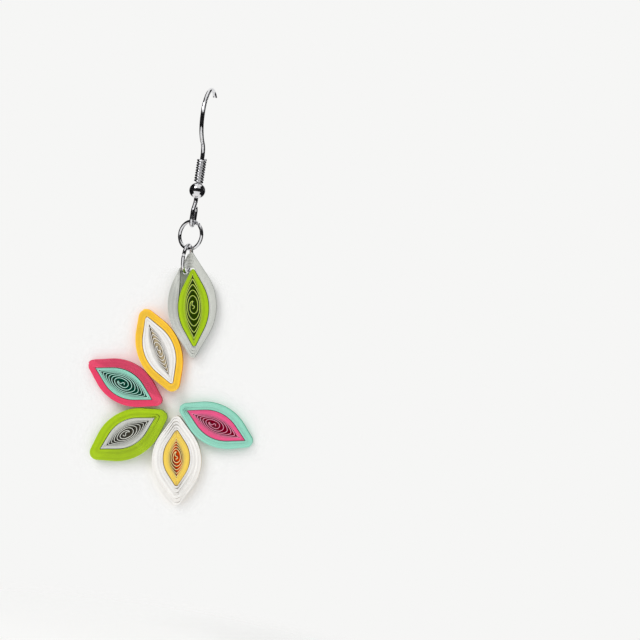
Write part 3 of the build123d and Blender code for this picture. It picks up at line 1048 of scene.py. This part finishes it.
card_parts = [card]
for leaf in leaves:
    core_place = Place(middle_of(f"leaf_{leaf.number}_core"), places[leaf.number].axis)
    shade_patch = [core_place.point(*p, card_depth / MM - WELL_STEP)
            for p in outline(inset(leaf.core, 2 * STRIP_THICKNESS), angles)]
    # painted shade: a glowing patch in the core's deep shade colour, just in front of the card
    card_parts.append(flat(f"card_under_leaf_{leaf.number}", shade_patch, fading(
        f"painted_shade_in_{leaf.core_paper}_light", "ShaderNodeEmission",
        papers[leaf.core_paper].painted_gap_shade, painted_shade_in_well)))
corners = [(x * MM, card_depth, z * MM) for x, z in HOOK_CARD]
card_parts.append(flat("card_behind_hook", corners, fading(
    "lit_white_card", "ShaderNodeEmission", STUDIO_WHITE, whole_front)))
for part in card_parts:
    for ray in ("diffuse", "glossy", "transmission", "shadow"):
        setattr(part, f"visible_{ray}", False)
print("card:", len(card_parts), "pieces, seen by the camera alone")

# %% [markdown]
# A pale floor lies some way below and fades out round the object.

# %% Floor
FLOOR_RADIUS = 0.06
FLOOR_BELOW = 25 * MM
FLOOR_FULL = 0.4           # share of its radius up to which it is seen fully


def near_middle(tree):
    """1 under the object, fading to 0 at the floor's rim."""
    place = add(tree, "ShaderNodeTexCoord").outputs["Object"]
    far = add(tree, "ShaderNodeVectorMath", {"operation": "LENGTH"}, {0: place}).outputs["Value"]
    return add(tree, "ShaderNodeMapRange", {"interpolation_type": "SMOOTHSTEP"}, {
        "Value": far, "From Min": FLOOR_FULL * FLOOR_RADIUS, "From Max": FLOOR_RADIUS,
        "To Min": 1.0, "To Max": 0.0}).outputs[0]


rim = [(FLOOR_RADIUS * math.cos(a), FLOOR_RADIUS * math.sin(a), 0) for a in angles]
floor = flat("pale_floor", rim, fading(
    "pale_matt_floor", "ShaderNodeBsdfDiffuse", CARD_WHITE, near_middle))
floor.location.z = spray_low - FLOOR_BELOW
print(f"floor: {FLOOR_BELOW / MM:.0f} mm below the lowest leaf")

# %% [markdown]
# Polished metal shows its surroundings, and a photographer shapes them with black flags. These
# are curved and seen by glossy rays alone. A low band in front draws the dark patch on the hook,
# a flag at each side the dark edges of the wires, and a small near one the bead's dark belt.

# %% Black flags
FLAG_BLACK = "#141416"
FLAG_RADIUS, BEAD_FLAG_RADIUS = 300, 20
FLAG_STEPS = 24
SIDE_HEIGHTS = (-320, 420)
bead_height = (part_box("bead")[0][2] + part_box("bead")[1][2]) / 2 / MM


def flag(name, radius, turns, heights):
    """Part of a cylinder round the hanging line, between two turns in degrees from the front."""
    material, tree = new_material(name)
    surface(tree, add(tree, "ShaderNodeEmission", inputs={"Color": linear(FLAG_BLACK)}))
    spread = np.radians(np.linspace(*turns, FLAG_STEPS + 1))
    points = [(radius * MM * math.sin(a), -radius * MM * math.cos(a), height * MM)
              for height in heights for a in spread]
    row = FLAG_STEPS + 1
    faces = [(k, k + 1, k + 1 + row, k + row) for k in range(FLAG_STEPS)]
    piece = mesh_object(name, points, faces, [material])
    for ray in ("camera", "diffuse", "transmission", "shadow"):
        setattr(piece, f"visible_{ray}", False)
    print(f"{name}: {radius} mm away, {heights[1] - heights[0]:.0f} mm high")


flag("hook_flag", FLAG_RADIUS, turns=(-60, 60), heights=(10, 42))
flag("left_flag", FLAG_RADIUS, turns=(-150, -50), heights=SIDE_HEIGHTS)
flag("right_flag", FLAG_RADIUS, turns=(50, 150), heights=SIDE_HEIGHTS)
flag("bead_flag", BEAD_FLAG_RADIUS, turns=(-80, 80), heights=(bead_height - 5, bead_height + 13))

# %% [markdown]
# One large soft lamp at the upper left gives the direction that the photograph's shadows show,
# and a weaker one behind lights the leaves' backs at a low angle.

# %% Lamps
LAMP_DISTANCE = 0.4
LAMP_SIZE = 0.18
object_middle = Vector((2, 0, -45)) * MM


def soft_lamp(name, direction, power):
    """Square lamp that looks at the object from a direction."""
    data = bpy.data.lights.new(name, "AREA")
    data.shape = "SQUARE"
    data.size = LAMP_SIZE
    data.energy = power
    lamp = bpy.data.objects.new(name, data)
    bpy.context.scene.collection.objects.link(lamp)
    direction = Vector(direction).normalized()
    lamp.location = object_middle + direction * LAMP_DISTANCE
    lamp.rotation_euler = direction.to_track_quat("Z", "Y").to_euler()
    print(f"{name}: {power} W")


soft_lamp("window", (-0.55, -0.75, 0.65), power=0.62)
soft_lamp("rear_window", (0.8, 0.45, 0.5), power=0.5)

# %% [markdown]
# ## Camera
# The photograph looks square at the card from straight in front, and the earring hangs left of
# its middle. The picture is turned so that the earring hangs 8.6 degrees off the image's
# upright, and one pixel is 0.165 mm at the leaves.

# %% Camera
IMAGE_WIDTH = 640
PIXEL = 0.165 * MM
HANG_ANGLE = math.radians(8.586)
IMAGE_CENTRE = Vector((23.2, 0, -34.5)) * MM
CAMERA_DISTANCE = 0.3
SENSOR = 36.0

camera_data = bpy.data.cameras.new("camera")
camera_data.sensor_width = SENSOR
camera_data.lens = SENSOR * CAMERA_DISTANCE / (IMAGE_WIDTH * PIXEL)
camera_data.clip_start = 0.01
camera = bpy.data.objects.new("camera", camera_data)
bpy.context.scene.collection.objects.link(camera)
camera.location = IMAGE_CENTRE - Vector((0, CAMERA_DISTANCE, 0))
camera.rotation_mode = "XYZ"
camera.rotation_euler = (math.pi / 2, -HANG_ANGLE, 0)
bpy.context.scene.camera = camera
bpy.context.scene.view_settings.view_transform = "Standard"
print(f"camera: {camera_data.lens:.0f} mm lens")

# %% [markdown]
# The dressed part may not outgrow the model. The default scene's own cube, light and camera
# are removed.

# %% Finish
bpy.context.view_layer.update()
for obj in [o for o in bpy.data.objects if o.name in ("Cube", "Light", "Camera")]:
    bpy.data.objects.remove(obj)
